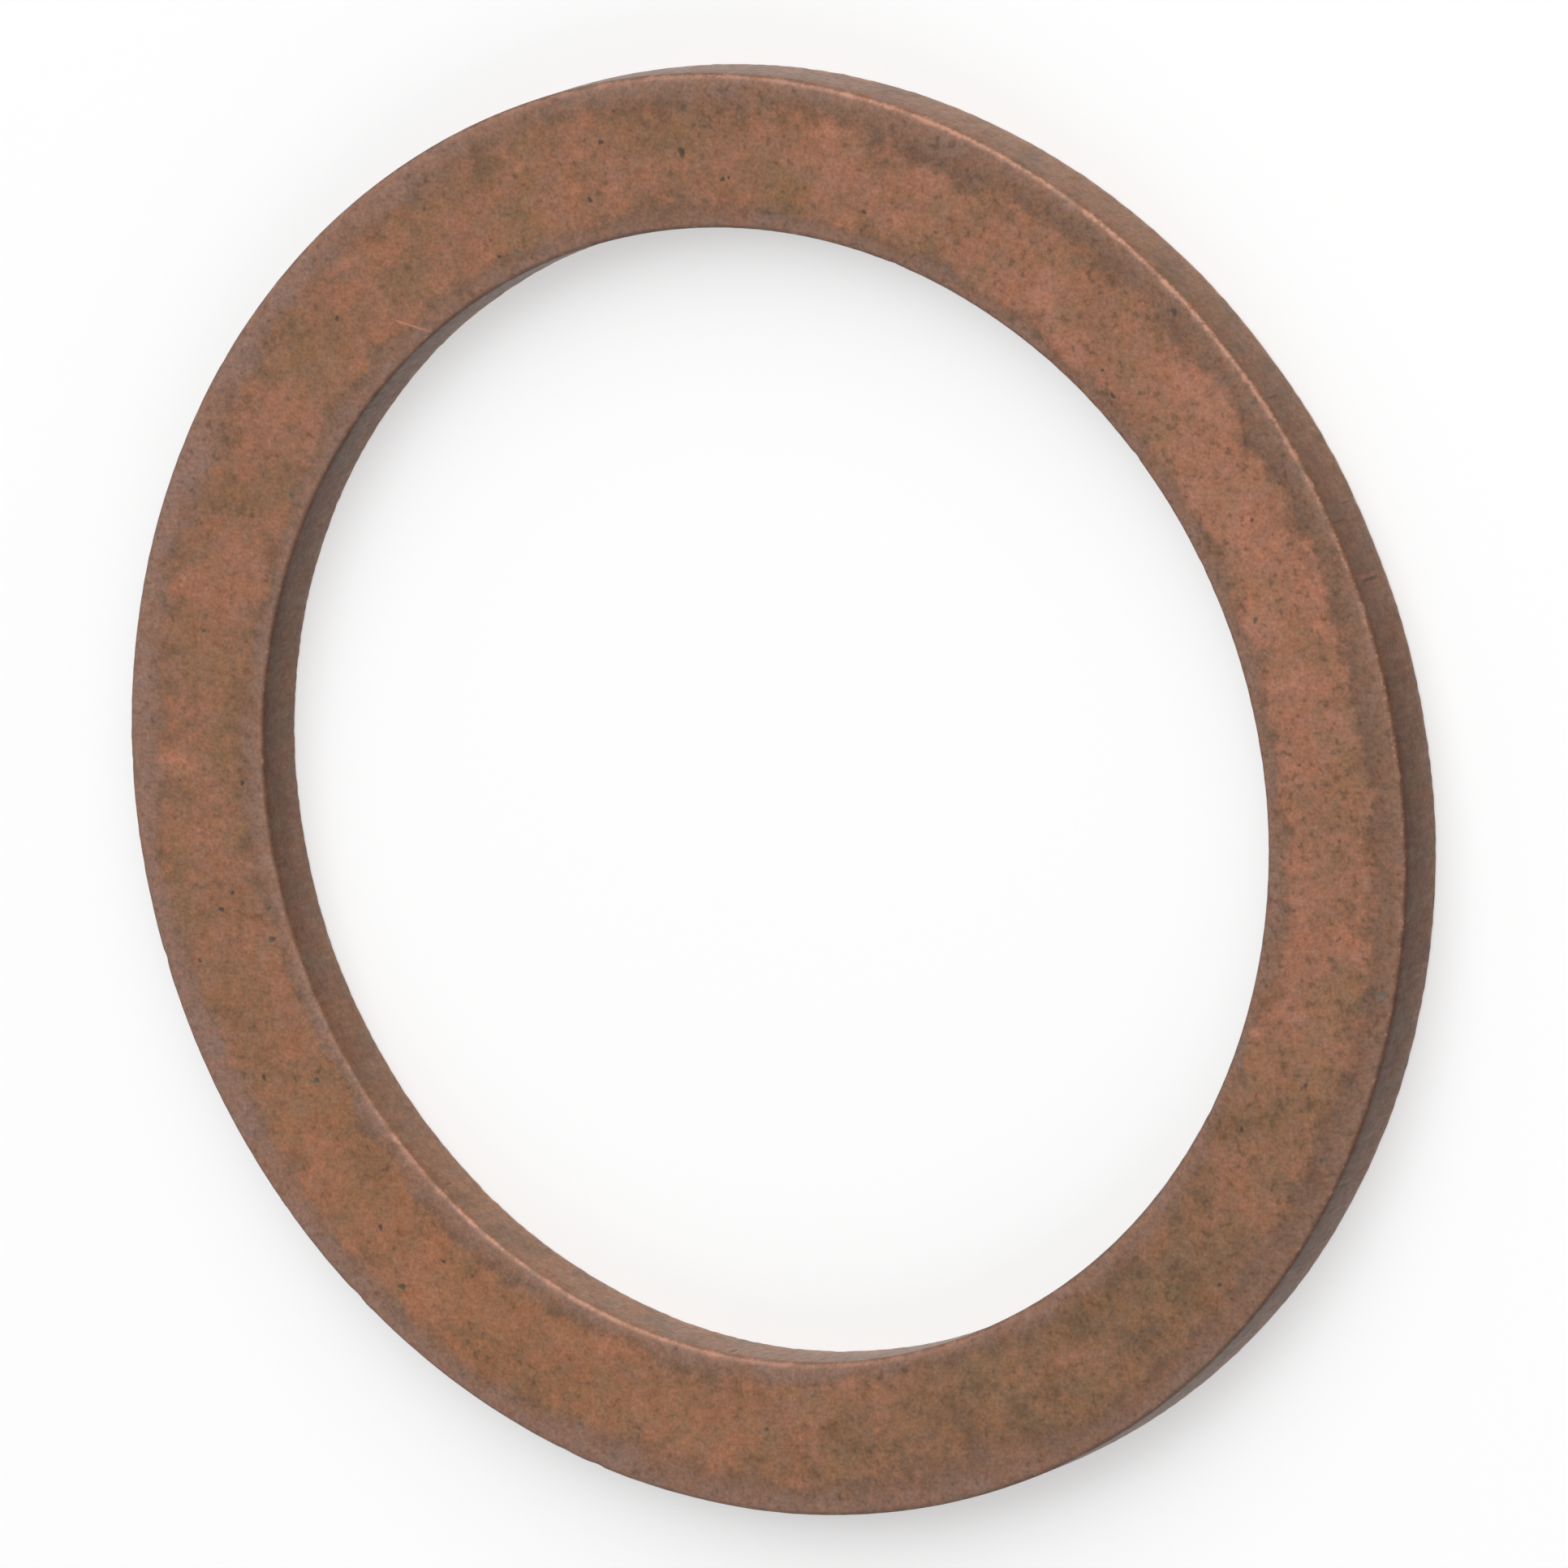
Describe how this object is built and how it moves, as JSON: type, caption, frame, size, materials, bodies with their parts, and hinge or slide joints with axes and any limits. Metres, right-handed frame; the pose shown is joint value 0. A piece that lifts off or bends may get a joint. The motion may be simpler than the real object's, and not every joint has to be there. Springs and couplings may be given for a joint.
{
  "type": "flat washer",
  "caption": "Plain flat ring of aged copper sheet that seals or spreads load under a large screw plug, bolt head or union.",
  "frame": {"origin": "centre of the hole, on the plane of the back face that the washer lies on", "axes": "+Z along the washer's axis, out of the front face whose rims roll off; X and Y are any two radii at right angles"},
  "size_m": [0.042, 0.042, 0.002],
  "materials": {
    "copper": "aged, matt brown patina with worn bright edges"
  },
  "bodies": {
    "root": {"washer": "copper"}
  },
  "joints": []
}
